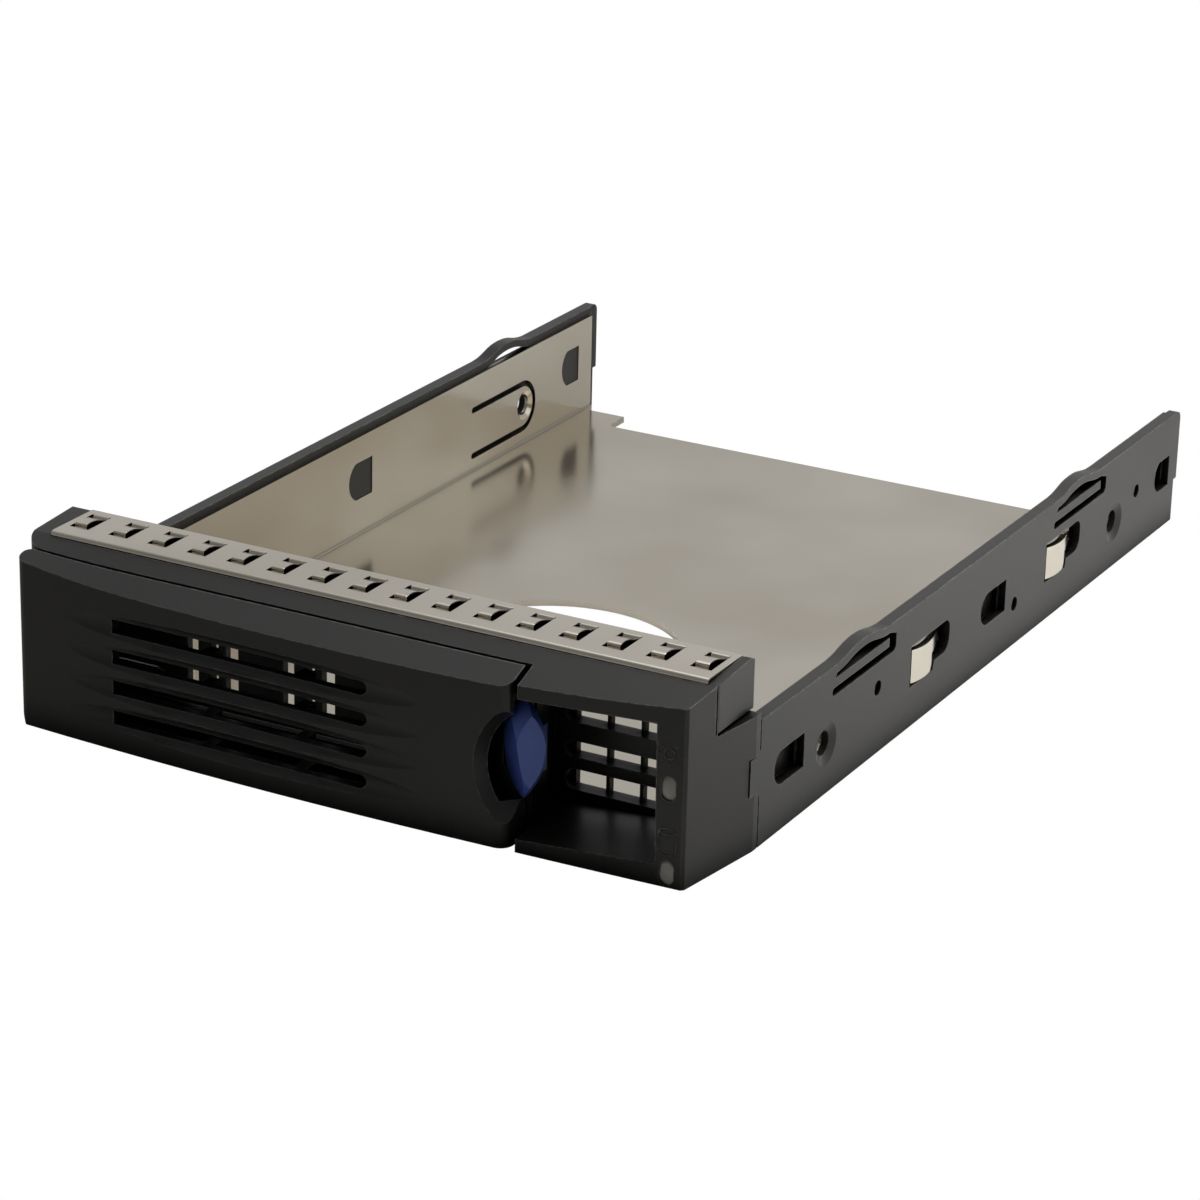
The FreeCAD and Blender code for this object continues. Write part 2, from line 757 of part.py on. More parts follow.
def handle_plan(inset):
    """Plan of the handle; inset > 0 gives the room behind the front wall."""
    left = HANDLE_LEFT
    right = HANDLE_RIGHT
    mid = (left + right) / 2
    if inset:
        return [
            (left - 1, bow(left) + inset),
            ("arc", (mid, bow(mid) + inset), (right + 1, bow(right) + inset)),
            (right + 1, 0),
            (left - 1, 0),
        ]
    r = 1.6
    s = 1.8
    heel = 1.25
    corner = bow(left + r) + r
    return [
        (left, corner),
        ("arc", (left + r * (1 - Q), corner - r * Q), (left + r, bow(left + r))),
        ("arc", (mid, bow(mid)), (right - s, bow(right - s))),
        ("arc", (right - s * (1 - Q), bow(right) + s * (1 - Q)), (right, bow(right) + s)),
        (right, FLANGE_Y),
        (left + heel, FLANGE_Y),
        ("arc", (left + heel * (1 - Q), FLANGE_Y - heel * (1 - Q)), (left, FLANGE_Y - heel)),
    ]


SLOT_Z = [18.35, 13.9, 9.45, 5.0]
SLOT_X = (HANDLE_LEFT + 16.3, HANDLE_RIGHT - 21.3)
PAD_X = HANDLE_RIGHT + 0.5
PAD_Z = 13.6
LATCH_Z = (10.3, 16.9)
TRAVEL = 2.5                   # press of the latch
SPRING_Z = (9.0, 13.0)
COVER_SCREW_X = HANDLE_RIGHT - 16.3
COVER_SCREW_Z = (LATCH_Z[0] - 1.5, LATCH_Z[1] + 1.5)


def vent_slots():
    slots = []
    x0, x1 = SLOT_X
    for z in SLOT_Z:
        r = 1.0
        path = [
            (x0, z - r),
            (x1 - r, z - r),
            ("arc", (x1, z), (x1 - r, z + r)),
            (x0, z + r),
        ]
        slots.append(prism(path, "y", -30, LIP_Y + 1.5))
    return slots


def leaf_flutes():
    """Round cutters bent against the bow: they bite most in the middle and fade at the ends."""
    x0 = HANDLE_LEFT + 7.0
    x1 = HANDLE_RIGHT - 11.8
    mid = (x0 + x1) / 2
    r = 2.9
    sink = 0.4
    chord = (bow(x0) + bow(x1)) / 2 - r
    cutters = []
    for z in SLOT_Z:
        a = V(x0 - 2.0, bow(x0) - r - 0.2, z)
        b = V(x1 + 2.0, bow(x1) - r - 0.2, z)
        way = Part.Circle(a, V(mid, chord + sink, z), b)
        cutters.append(Part.makeTorus(way.Radius, r, way.Center, V(0, 0, 1)))
    return cutters


def knuckle():
    px, py = PIVOT
    body = rod(px, py, 1.9, 1.55, BEZEL_TOP - 6.3, V(0, 0, 1))
    return body.fuse(box(px, px + 4.0, bow(px) + 0.5, py + 1.1, 1.9, BEZEL_TOP - 4.4))


def knuckle_cuts():
    """Room for the pin, for the bezel's lugs as the handle turns, and for the spring coil."""
    px, py = PIVOT
    clear = LUG_R + 0.25
    cuts = [rod(px, py, 1.0, PIN_R + RUN, BEZEL_TOP - 5.9, V(0, 0, 1))]
    for low, high in LUG_Z:
        z0 = low - 0.25
        z1 = high + 0.25
        cuts.append(rod(px, py, z0, clear, z1 - z0, V(0, 0, 1)))
        cuts.append(box(px - 3, px + clear, py, py + 3, z0, z1))
        cuts.append(box(px - 3, px - 0.8, py - 0.75, py + 3, z0, z1))
    cuts.append(rod(px, py, SPRING_Z[0], 1.5, SPRING_Z[1] - SPRING_Z[0], V(0, 0, 1)))
    cuts.append(box(px - 3, px + 5, py, py + 3, SPRING_Z[0], SPRING_Z[1]))
    return cuts


def latch_carrier():
    """Thick right end that guides the latch, with posts for its cover."""
    right = HANDLE_RIGHT
    front = bow(right) + 1.5
    low = LATCH_Z[0] - 3.0
    high = LATCH_Z[1] + 3.0
    block = box(right - 14.3, right, front, COVER_Y - 1.1, 2.0, BEZEL_TOP - 4.0)
    stop = box(right - 19.8, right - 18.2, front, COVER_Y, low, high)
    rails = []
    for z0, z1 in ((low, LATCH_Z[0] - SLIP), (LATCH_Z[1] + SLIP, high)):
        rails.append(box(right - 18.3, right - 4.3, front, COVER_Y, z0, z1))
    return [block, stop] + rails


def dish():
    """Finger scoop: a cone sunk into the right end."""
    x = HANDLE_RIGHT + 5.2
    return Part.makeCone(10.5, 7.5, 4.3, V(x, -BEZEL_DEPTH - 0.1, PAD_Z - 1.9), V(0, 1, 0))


def latch_pocket():
    """Room for the pad and its travel, closed behind except where the neck passes."""
    right = HANDLE_RIGHT
    low, high = PAD_Z - 7.35, PAD_Z + 7.35
    edge = PAD_X - 3.0 - TRAVEL - 1.2
    path = [
        (right + 2, low),
        (edge + 4.0, low),
        ("curve", (edge + 1.8, low + 0.4), (edge, low + 1.6), (edge, low + 4.0)),
        (edge, high - 4.4),
        ("curve", (edge, high - 1.6), (edge + 1.8, high - 0.4), (edge + 4.0, high)),
        (right + 2, high),
    ]
    pocket = prism(path, "y", COVER_Y - 4.3, COVER_Y - 1.7)
    z0, z1 = LATCH_Z[0] - SLIP, LATCH_Z[1] + SLIP
    neck = box(right - 0.3 - TRAVEL - 0.15, right + 1, COVER_Y - 2, COVER_Y, z0, z1)
    thin = box(right - 6.9, right + 1, COVER_Y - 1.1, COVER_Y + 3, z0, z1)
    thick = box(right - 12.0 - TRAVEL - 0.2, right - 6.8, COVER_Y - 2.0, COVER_Y + 3, z0, z1)
    return [pocket, neck, thin, thick]


def handle():
    outer = prism(handle_plan(0), "z", HANDLE_FOOT, BEZEL_TOP + 2)
    body = outer.cut(top_slope(0, 12))
    under = top_slope(-1.3, -40)
    room = prism(handle_plan(HANDLE_WALL), "z", HANDLE_FOOT + 1.2, BEZEL_TOP + 2)
    body = body.cut([room.common(piece) for piece in under])
    parts = [body, knuckle()] + latch_carrier()
    for x in (SLOT_X[0] + 14.8, SLOT_X[0] + 29.7):
        parts.append(box(x - 0.95, x + 0.95, bow(x) + 1.0, COVER_Y - 2.0, 1.0, BEZEL_TOP - 3.6))
    body = fuse(parts)
    foot_cut = prism([
        (HANDLE_LEFT - 1, -1),
        (HANDLE_LEFT + 1.0, -1),
        (HANDLE_LEFT + 1.0, HANDLE_FOOT),
        (HANDLE_LEFT, HANDLE_FOOT + 2.4),
        (HANDLE_LEFT - 1, HANDLE_FOOT + 2.4),
    ], "y", -30, 0)
    cuts = vent_slots() + leaf_flutes() + knuckle_cuts() + [dish(), foot_cut] + latch_pocket()
    cuts += [rod(COVER_SCREW_X, COVER_Y - 2.6, z, 0.5, 3, V(0, 1, 0)) for z in COVER_SCREW_Z]
    return body.cut(cuts)


def handle_pin():
    return rod(PIVOT[0], PIVOT[1], 2.1, PIN_R, BEZEL_TOP - 7.2, V(0, 0, 1))


def hexagon(centre, u, v, radius):
    """Six-sided outline of a wire, in the plane of the directions u and v."""
    corners = []
    for k in range(7):
        angle = math.radians(60 * k)
        corners.append(centre + u * (radius * math.cos(angle)) + v * (radius * math.sin(angle)))
    return Part.makePolygon(corners)


def coil(centre, along_x, radius, wire, turns, height):
    """Wire wound on a helix along Z, turned onto X if asked, with six flats round the wire."""
    helix = Part.makeHelix(height / turns, height, radius)
    outline = hexagon(V(radius, 0, 0), V(1, 0, 0), V(0, 0, 1), wire)
    spring = Part.Wire(helix.Edges).makePipeShell([outline], True, True)
    if along_x:
        spring.rotate(V(0, 0, 0), V(0, 1, 0), 90)
    spring.translate(centre)
    return spring


def bent_wire(points, wire):
    """Six-sided wire through straight legs that cross a little at each corner."""
    pieces = []
    for a, b in zip(points[:-1], points[1:]):
        way = (b - a).normalize()
        side = way.cross(V(0, 0, 1)).normalize()
        start = a - way * (wire * 0.6)
        outline = hexagon(start, way.cross(side), side, wire)
        pieces.append(Part.Face(outline).extrude(b - a + way * (wire * 1.2)))
    return fuse(pieces)


def handle_spring():
    """Torsion spring round the pin: one leg on the bezel's cheek, the long one along the handle."""
    px, py = PIVOT
    wire = 0.2
    mean = 1.05
    z0 = SPRING_Z[0] + 0.4
    z1 = SPRING_Z[1] - 0.8
    body = coil(V(px, py, z0), False, mean, wire, 4, z1 - z0)
    far = SLOT_X[0] + 5.2
    out = px + mean
    long_leg = [V(out, py, z1), V(out, py + 0.9, z1), V(far, py + 0.9, z1), V(far + 1.6, py + 0.2, z1)]
    short_leg = [V(out, py, z0), V(px + 0.4, py + 2.4, z0), V(px - 0.6, py + 5.2, z0)]
    return fuse([body, bent_wire(long_leg, wire + 0.01), bent_wire(short_leg, wire + 0.01)])


# ---- latch ----
def release_latch():
    """Blue pad with two facets meeting in a curved ridge, on a stem that slides behind the handle."""
    px, pz = PAD_X, PAD_Z
    half = 7.05
    back = COVER_Y - 1.9
    rim = back - 0.3
    ridge = COVER_Y - 4.55
    face = prism([
        (px, pz - half),
        ("curve", (px + 2.6, pz - 4.2), (px + 3.1, pz - 1.5), (px + 3.1, pz + 0.8)),
        ("curve", (px + 3.1, pz + 3.2), (px + 1.6, pz + 5.6), (px + 0.2, pz + half)),
        ("curve", (px - 1.6, pz + 5.8), (px - 3.0, pz + 4.6), (px - 3.0, pz + 3.0)),
        (px - 3.0, pz - 3.0),
        ("curve", (px - 3.0, pz - 5.2), (px - 1.5, pz - 6.2), (px, pz - half)),
    ], "y", ridge - 1, back)
    right_facet = prism([
        (px - 4, back),
        (px - 4, ridge - 1.2),
        (px - 0.2, ridge - 0.15),
        (px + 3.1, rim),
        (px + 3.1, back),
    ], "z", pz - half - 1, pz + half + 1)
    crown = prism([
        (back, pz - half),
        (rim, pz - half),
        ("arc", (ridge, pz + 0.5), (rim, pz + half)),
        (back, pz + half),
    ], "x", px - 4, px + 4)
    left_facet = Part.makeCone(13.97, 21.5, 5.0, V(px + 15.6, ridge - 1.05, pz + 3.4), V(0, 1, 0))
    pad = face.common(right_facet).common(crown).common(left_facet)
    low, high = LATCH_Z
    right = HANDLE_RIGHT
    tail = COVER_Y - 0.05
    thick = box(right - 12.0, right - 7.0, COVER_Y - 1.9, tail, low, high)
    thin = box(right - 7.1, right + 2.6, COVER_Y - 1.0, tail, low, high)
    neck = box(right - 0.3, right + 2.6, back - 0.05, COVER_Y - 0.9, low, high)
    arm = box(KEEPER_X - 3.6, KEEPER_X - 1.6, tail - 0.1, COVER_Y + 3.4, low + 0.6, high - 0.6)
    nose = prism([
        (KEEPER_X - 1.7, COVER_Y + 3.4),
        (KEEPER_X - 0.5, COVER_Y + 3.4),
        (KEEPER_X - 0.5, COVER_Y + 2.9),
        (KEEPER_X - 1.7, COVER_Y + 1.8),
    ], "z", low + 0.6, high - 0.6)
    return fuse([pad, neck, thin, thick, arm, nose])


def latch_spring():
    """Compression spring between the stem and the stop on the handle."""
    x0 = HANDLE_RIGHT - 18.2
    x1 = HANDLE_RIGHT - 12.0
    return coil(V(x0 + 0.2, COVER_Y - 1.0, PAD_Z), True, 0.72, 0.16, 5, x1 - x0 - 0.4)


def latch_retainer():
    right = HANDLE_RIGHT
    low, high = LATCH_Z
    plate = box(right - 19.8, right - 3.0, COVER_Y, COVER_Y + 1.0, low - 2.9, high + 2.9)
    x0 = KEEPER_X - 3.6 - TRAVEL - 0.3
    x1 = KEEPER_X - 1.6 + 0.3
    slot = box(x0, x1, COVER_Y - 1, COVER_Y + 2, low + 0.3, high - 0.3)
    holes = [rod(COVER_SCREW_X, COVER_Y - 1, z, 0.62, 3, V(0, 1, 0)) for z in COVER_SCREW_Z]
    return plate.cut([slot] + holes)


# ---- screws ----
SCREW_REACH = 5.0              # depth of the bezel's screw holes


def screw(x, y, z, shank_r, shank, head_r, head):
    """Pan screw that runs forward along Y, with a plain cross recess in its head."""
    body = rod(x, y, z, shank_r, shank, V(0, -1, 0))
    body = body.fuse(rod(x, y, z, head_r, head, V(0, 1, 0)))
    arm = head_r * 0.55
    deep = y + head * 0.4
    cross = [
        box(x - arm, x + arm, deep, y + head + 1, z - 0.2, z + 0.2),
        box(x - 0.2, x + 0.2, deep, y + head + 1, z - arm, z + arm),
    ]
    return body.cut(cross)


def cover_screws():
    return [screw(COVER_SCREW_X, COVER_Y + 1.0, z, 0.5, 3.4, 1.1, 0.6) for z in COVER_SCREW_Z]


def bezel_screw(x):
    return screw(x, SHEET, TAB_Z, 0.9, SCREW_REACH + 0.5, 2.0, 1.1)


def light_pipe(z):
    """Lens with a domed front in the column, and a slimmer rod behind it."""
    front = front_arc(FRONT_X) - 0.15
    radius = 4.6
    dome = Part.makeSphere(radius, V(PIPE_X, front + radius, z))
    head = pipe_head(z, 0.0, front - 1, front + 3.4).common(dome)
    stem = pipe_head(z, -0.25, front + 3.3, -0.2)
    return fuse([head, stem])


os.makedirs("parts", exist_ok=True)
export("drive_tray", drive_tray())
export("left_rail", left_rail())
export("right_rail", right_rail())
export("bezel", bezel())
export("emi_spring_strip", emi_spring_strip())
export("handle", handle())
export("handle_pin", handle_pin())
export("handle_spring", handle_spring())
export("release_latch", release_latch())
export("latch_spring", latch_spring())
export("latch_retainer", latch_retainer())
for name, part in zip(("retainer_screw_lower", "retainer_screw_upper"), cover_screws()):
    export(name, part)
export("bezel_screw_left", bezel_screw(TAB_X[0]))
export("bezel_screw_right", bezel_screw(TAB_X[1]))
for name, height in PIPES:
    export(name, light_pipe(height))
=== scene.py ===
# %% [markdown]
# # A drive caddy in steel and black plastic
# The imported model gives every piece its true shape, so this lesson is mostly about surfaces and light:
# a bright rolled tray, fine-grained plastic with rubbed edges, a blue latch and milky lenses.
# Two things are made here: a finer contact strip for the top of the bezel, and two small signs on its column.
# Lengths are in metres. X runs across the front, Y runs back, Z runs up.

import bpy
import json
import math
import numpy as np
from mathutils import Matrix, Vector


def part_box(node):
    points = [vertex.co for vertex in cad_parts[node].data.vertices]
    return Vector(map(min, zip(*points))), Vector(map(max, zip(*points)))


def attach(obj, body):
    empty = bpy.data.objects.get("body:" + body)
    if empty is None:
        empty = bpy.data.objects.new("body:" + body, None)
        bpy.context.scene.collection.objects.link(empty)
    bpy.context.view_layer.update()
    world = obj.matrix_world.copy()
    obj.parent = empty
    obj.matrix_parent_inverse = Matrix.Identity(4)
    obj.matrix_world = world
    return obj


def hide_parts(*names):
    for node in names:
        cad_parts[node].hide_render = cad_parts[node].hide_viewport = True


MM = 0.001
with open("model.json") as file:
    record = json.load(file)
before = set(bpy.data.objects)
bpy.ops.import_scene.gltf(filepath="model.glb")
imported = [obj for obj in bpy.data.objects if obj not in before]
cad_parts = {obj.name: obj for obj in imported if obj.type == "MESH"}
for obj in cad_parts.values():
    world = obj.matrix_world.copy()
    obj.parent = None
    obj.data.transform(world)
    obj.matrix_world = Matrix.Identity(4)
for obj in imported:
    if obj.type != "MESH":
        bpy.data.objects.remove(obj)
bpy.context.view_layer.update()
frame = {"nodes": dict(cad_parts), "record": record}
nodes = frame["nodes"]

# %% [markdown]
# The seam between bezel and rails is the plane that the front was laid out from. Reading it from the
# bezel's own box keeps the contact strip on the bezel and the camera aimed, if the model is resized.

# %% Landmark
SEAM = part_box("bezel")[1][1]
print("seam y", round(SEAM, 5))

# %% [markdown]
# Small helpers come first. `wire` joins two sockets, and `add` makes a node and sets its constants at once,
# so that each material below reads as a list of what it does. `new_group` opens a node group with named
# inputs and outputs, and `use` places a finished group in a material with that material's own values.


# %% Node helpers
def add(tree, kind, **values):
    node = tree.nodes.new(kind)
    for name, value in values.items():
        if hasattr(node, name):
            setattr(node, name, value)
        else:
            node.inputs[name.replace("_", " ")].default_value = value
    return node


def wire(tree, source, output, target, name):
    tree.links.new(source.outputs[output], target.inputs[name])


def new_group(name, floats, outputs):
    group = bpy.data.node_groups.new(name, "ShaderNodeTree")
    for label, value in floats.items():
        socket = group.interface.new_socket(name=label, in_out="INPUT", socket_type="NodeSocketFloat")
        socket.default_value = value
    for label, kind in outputs.items():
        group.interface.new_socket(name=label, in_out="OUTPUT", socket_type=kind)
    return group, group.nodes.new("NodeGroupInput"), group.nodes.new("NodeGroupOutput")


def use(tree, group, **values):
    return add(tree, "ShaderNodeGroup", node_tree=group, **values)


# %% [markdown]
# Moulded plastic has a spark-eroded grain: tiny pits that scatter the light a little.
# The same group also rounds every edge by a hair, because a knife edge never catches light
# as the real one does.

# %% Grain group
GRAIN_SCALE = 2500.0
GRAIN_DEPTH = 0.15
SOFT_EDGE = 0.15 * MM
grain, g_in, g_out = new_group(
    "fine_grain",
    {"Scale": GRAIN_SCALE, "Depth": GRAIN_DEPTH, "Edge": SOFT_EDGE},
    {"Normal": "NodeSocketVector", "Pits": "NodeSocketFloat"},
)
where = add(grain, "ShaderNodeTexCoord")
noise = add(grain, "ShaderNodeTexNoise", Detail=2.0, Roughness=0.6)
soft_edge = add(grain, "ShaderNodeBevel", samples=6)
bump = add(grain, "ShaderNodeBump", Distance=0.04 * MM)
wire(grain, where, "Object", noise, "Vector")
wire(grain, g_in, "Scale", noise, "Scale")
wire(grain, g_in, "Edge", soft_edge, "Radius")
wire(grain, g_in, "Depth", bump, "Strength")
wire(grain, noise, "Fac", bump, "Height")
wire(grain, soft_edge, "Normal", bump, "Normal")
wire(grain, bump, "Normal", g_out, "Normal")
wire(grain, noise, "Fac", g_out, "Pits")
print("grain group:", len(grain.nodes), "nodes")

# %% [markdown]
# Handling rubs the corners to a lighter grey, and the same lighter colour is a painted highlight along them:
# this mask is partly real wear and partly painted light. Comparing the true normal with one rounded over a
# wider radius tells how close a point is to an edge: their dot product is 1 on a flat and drops near a
# corner.
# Noise then breaks that line into scuffs and glints.

# %% Edge wear and painted highlight group
# Rubbed wear and painted highlight: this mask lightens the colour along every edge.
WEAR_AND_HIGHLIGHT_REACH = 0.4 * MM
wear_and_highlight, w_in, w_out = new_group(
    "rubbed_edges_and_highlight",
    {"Reach": WEAR_AND_HIGHLIGHT_REACH, "Amount": 0.5},
    {"Mask": "NodeSocketFloat"},
)
geometry = add(wear_and_highlight, "ShaderNodeNewGeometry")
wide = add(wear_and_highlight, "ShaderNodeBevel", samples=8)
dot = add(wear_and_highlight, "ShaderNodeVectorMath", operation="DOT_PRODUCT")
near_edge = add(wear_and_highlight, "ShaderNodeMapRange", From_Min=0.985, From_Max=0.80)
spots = add(wear_and_highlight, "ShaderNodeTexNoise", Scale=900.0, Detail=4.0, Roughness=0.7)
where = add(wear_and_highlight, "ShaderNodeTexCoord")
scuffs_and_glints = add(wear_and_highlight, "ShaderNodeMapRange", From_Min=0.35, From_Max=0.65)
broken = add(wear_and_highlight, "ShaderNodeMath", operation="MULTIPLY")
scaled = add(wear_and_highlight, "ShaderNodeMath", operation="MULTIPLY")
wire(wear_and_highlight, w_in, "Reach", wide, "Radius")
wire(wear_and_highlight, geometry, "Normal", dot, 0)
wire(wear_and_highlight, wide, "Normal", dot, 1)
wire(wear_and_highlight, dot, "Value", near_edge, "Value")
wire(wear_and_highlight, where, "Object", spots, "Vector")
wire(wear_and_highlight, spots, "Fac", scuffs_and_glints, "Value")
wire(wear_and_highlight, near_edge, "Result", broken, 0)
wire(wear_and_highlight, scuffs_and_glints, "Result", broken, 1)
wire(wear_and_highlight, broken, "Value", scaled, 0)
wire(wear_and_highlight, w_in, "Amount", scaled, 1)
wire(wear_and_highlight, scaled, "Value", w_out, "Mask")
print("wear group:", len(wear_and_highlight.nodes), "nodes")

# %% [markdown]
# Little light reaches the bottom of a slot, so this group paints shade there: it answers 1 in the open
# and falls to 0 deep inside a hollow, from the ambient occlusion of each point. The plastics use it to paint
# shade into both their colour and their shine, and the metals into their colour alone.

# %% Painted corner shade group
deep, d_in, d_out = new_group(
    "painted_corner_shade",
    {"Distance": 6 * MM, "Closed": 0.25, "Open": 0.75},
    {"Open": "NodeSocketFloat"},
)
# Painted shade: the occlusion of each point sets how dark its colour is painted.
shade = add(deep, "ShaderNodeAmbientOcclusion", samples=6)
ramp = add(deep, "ShaderNodeMapRange")
wire(deep, d_in, "Distance", shade, "Distance")
wire(deep, shade, "AO", ramp, "Value")
wire(deep, d_in, "Closed", ramp, "From Min")
wire(deep, d_in, "Open", ramp, "From Max")
wire(deep, ramp, "Result", d_out, "Open")
print("deep corner group:", len(deep.nodes), "nodes")

# %% [markdown]
# Rolled sheet is drawn out along one direction, so its roughness is faintly streaky. Hands leave larger,
# softer smudges, and those carry the warm tint. The sheet itself stays flat, so what it mirrors is soft
# but unbroken, and only its rims are rounded by the Edge input.

# %% Sheet group
STREAK_SCALE = (700.0, 12.0, 700.0)
sheet, s_in, s_out = new_group(
    "rolled_sheet",
    {"Streaks": 0.02, "Smudges": 0.06, "Base": 0.15, "Edge": 0.0},
    {"Roughness": "NodeSocketFloat", "Tone": "NodeSocketFloat", "Normal": "NodeSocketVector"},
)
where = add(sheet, "ShaderNodeTexCoord")
stretch = add(sheet, "ShaderNodeMapping", Scale=STREAK_SCALE)
lines = add(sheet, "ShaderNodeTexNoise", Scale=1.0, Detail=2.0)
blot = add(sheet, "ShaderNodeTexNoise", Scale=22.0, Detail=2.5, Roughness=0.5)
smudge = add(sheet, "ShaderNodeMapRange", From_Min=0.38, From_Max=0.62)
streaky = add(sheet, "ShaderNodeMath", operation="MULTIPLY")
smudgy = add(sheet, "ShaderNodeMath", operation="MULTIPLY")
both = add(sheet, "ShaderNodeMath", operation="ADD")
total = add(sheet, "ShaderNodeMath", operation="ADD")
soft_rim = add(sheet, "ShaderNodeBevel", samples=6)
wire(sheet, where, "Object", stretch, "Vector")
wire(sheet, stretch, "Vector", lines, "Vector")
wire(sheet, where, "Object", blot, "Vector")
wire(sheet, blot, "Fac", smudge, "Value")
wire(sheet, lines, "Fac", streaky, 0)
wire(sheet, s_in, "Streaks", streaky, 1)
wire(sheet, smudge, "Result", smudgy, 0)
wire(sheet, s_in, "Smudges", smudgy, 1)
wire(sheet, streaky, "Value", both, 0)
wire(sheet, smudgy, "Value", both, 1)
wire(sheet, both, "Value", total, 0)
wire(sheet, s_in, "Base", total, 1)
wire(sheet, total, "Value", s_out, "Roughness")
wire(sheet, smudge, "Result", s_out, "Tone")
wire(sheet, s_in, "Edge", soft_rim, "Radius")
wire(sheet, soft_rim, "Normal", s_out, "Normal")
print("sheet group:", len(sheet.nodes), "nodes")

# %% [markdown]
# Every material keeps its Principled shader at the top level, and the groups feed it.
# Two close colours are mixed by noise rather than one flat value, which is how a real batch of plastic looks.


# %% Colour helpers
def blank(name):
    material = bpy.data.materials.new(name)
    material.use_nodes = True
    return material, material.node_tree, material.node_tree.nodes["Principled BSDF"]


def mix_colour(tree, dark, light):
    mix = add(tree, "ShaderNodeMix", data_type="RGBA")
    mix.inputs["A"].default_value = (*dark, 1.0)
    mix.inputs["B"].default_value = (*light, 1.0)
    return mix


def darker(colour, share):
    return tuple(share * v for v in colour)


# %% [markdown]
# Black and blue plastic differ only in values. The colour goes through three mixes: the two tones of the
# grain, then the rubbed edges with their painted highlight, then painted shade in deep corners, which takes
# the shine away as well.


# %% Moulded plastic
BLACK = (0, 0, 0)


def moulded(name, dark, light, rubbed_and_highlight, roughness, depth=GRAIN_DEPTH, amount=0.5, shine=0.4):
    material, tree, shader = blank(name)
    skin = use(tree, grain, Scale=GRAIN_SCALE, Depth=depth, Edge=SOFT_EDGE)
    edges = use(tree, wear_and_highlight, Reach=WEAR_AND_HIGHLIGHT_REACH, Amount=amount)
    hollow = use(tree, deep, Distance=6 * MM, Closed=0.35, Open=0.95)
    tone = mix_colour(tree, dark, light)
    worn_and_lit = mix_colour(tree, BLACK, rubbed_and_highlight)
    # Painted shade: deep corners fall toward 0.15 of the dark tone.
    with_painted_shade = mix_colour(tree, darker(dark, 0.15), BLACK)
    gloss = add(tree, "ShaderNodeMath", operation="MULTIPLY")
    gloss.inputs[1].default_value = shine
    wire(tree, skin, "Pits", tone, "Factor")
    # Rubbed wear and painted highlight: the edges take the lighter colour.
    wire(tree, edges, "Mask", worn_and_lit, "Factor")
    wire(tree, tone, "Result", worn_and_lit, "A")
    wire(tree, hollow, "Open", with_painted_shade, "Factor")
    wire(tree, worn_and_lit, "Result", with_painted_shade, "B")
    wire(tree, with_painted_shade, "Result", shader, "Base Color")
    # Painted shade on the shine: deep corners lose their specular level.
    wire(tree, hollow, "Open", gloss, 0)
    wire(tree, gloss, "Value", shader, "Specular IOR Level")
    wire(tree, skin, "Normal", shader, "Normal")
    shader.inputs["Roughness"].default_value = roughness
    return material


# %% [markdown]
# All metals are one recipe too. Two arguments set the painted shade in their corners: the reach is how far
# from a corner the painted shade reaches, and `shadow` is the share of the colour that is left in it.


# %% Sheet steel
def steel(name, dark, light, base, streaks, smudges, edge=0.0, shade_reach=3 * MM, shadow=0.35):
    material, tree, shader = blank(name)
    skin = use(tree, sheet, Streaks=streaks, Smudges=smudges, Base=base, Edge=edge)
    hollow = use(tree, deep, Distance=shade_reach, Closed=0.15, Open=0.65)
    tone = mix_colour(tree, dark, light)
    # Painted shade: deep corners fall toward the shadow share of the dark tone.
    with_painted_shade = mix_colour(tree, darker(dark, shadow), BLACK)
    wire(tree, skin, "Tone", tone, "Factor")
    wire(tree, hollow, "Open", with_painted_shade, "Factor")
    wire(tree, tone, "Result", with_painted_shade, "B")
    wire(tree, with_painted_shade, "Result", shader, "Base Color")
    wire(tree, skin, "Roughness", shader, "Roughness")
    wire(tree, skin, "Normal", shader, "Normal")
    shader.inputs["Metallic"].default_value = 1.0
    return material


# %% [markdown]
# The palette. The black is a warm near-black whose edges turn grey, as rubbed wear and as a painted
# highlight, and the latch is a plain mid blue.

# %% Plastics
black = moulded(
    "black_plastic",
    dark=(0.010, 0.0092, 0.0085),
    light=(0.016, 0.0147, 0.0135),
    rubbed_and_highlight=(0.26, 0.25, 0.24),
    roughness=0.34,
    amount=0.6,
)
blue = moulded(
    "blue_plastic",
    dark=(0.046, 0.088, 0.34),
    light=(0.054, 0.102, 0.39),
    rubbed_and_highlight=(0.08, 0.11, 0.28),
    roughness=0.35,
    depth=0.08,
    shine=0.6,
)
print("plastics:", black.name, blue.name)

# %% [markdown]
# The tray and the contact strip are the same warm grey steel. The strip is a little duller, and has painted
# shade between its fingers. Screws and springs are cooler greys.

# %% Metals
tray = steel(
    "tray_steel",
    dark=(0.64, 0.585, 0.49),
    light=(0.74, 0.695, 0.605),
    base=0.15,
    streaks=0.01,
    smudges=0.04,
    shadow=0.6,
)
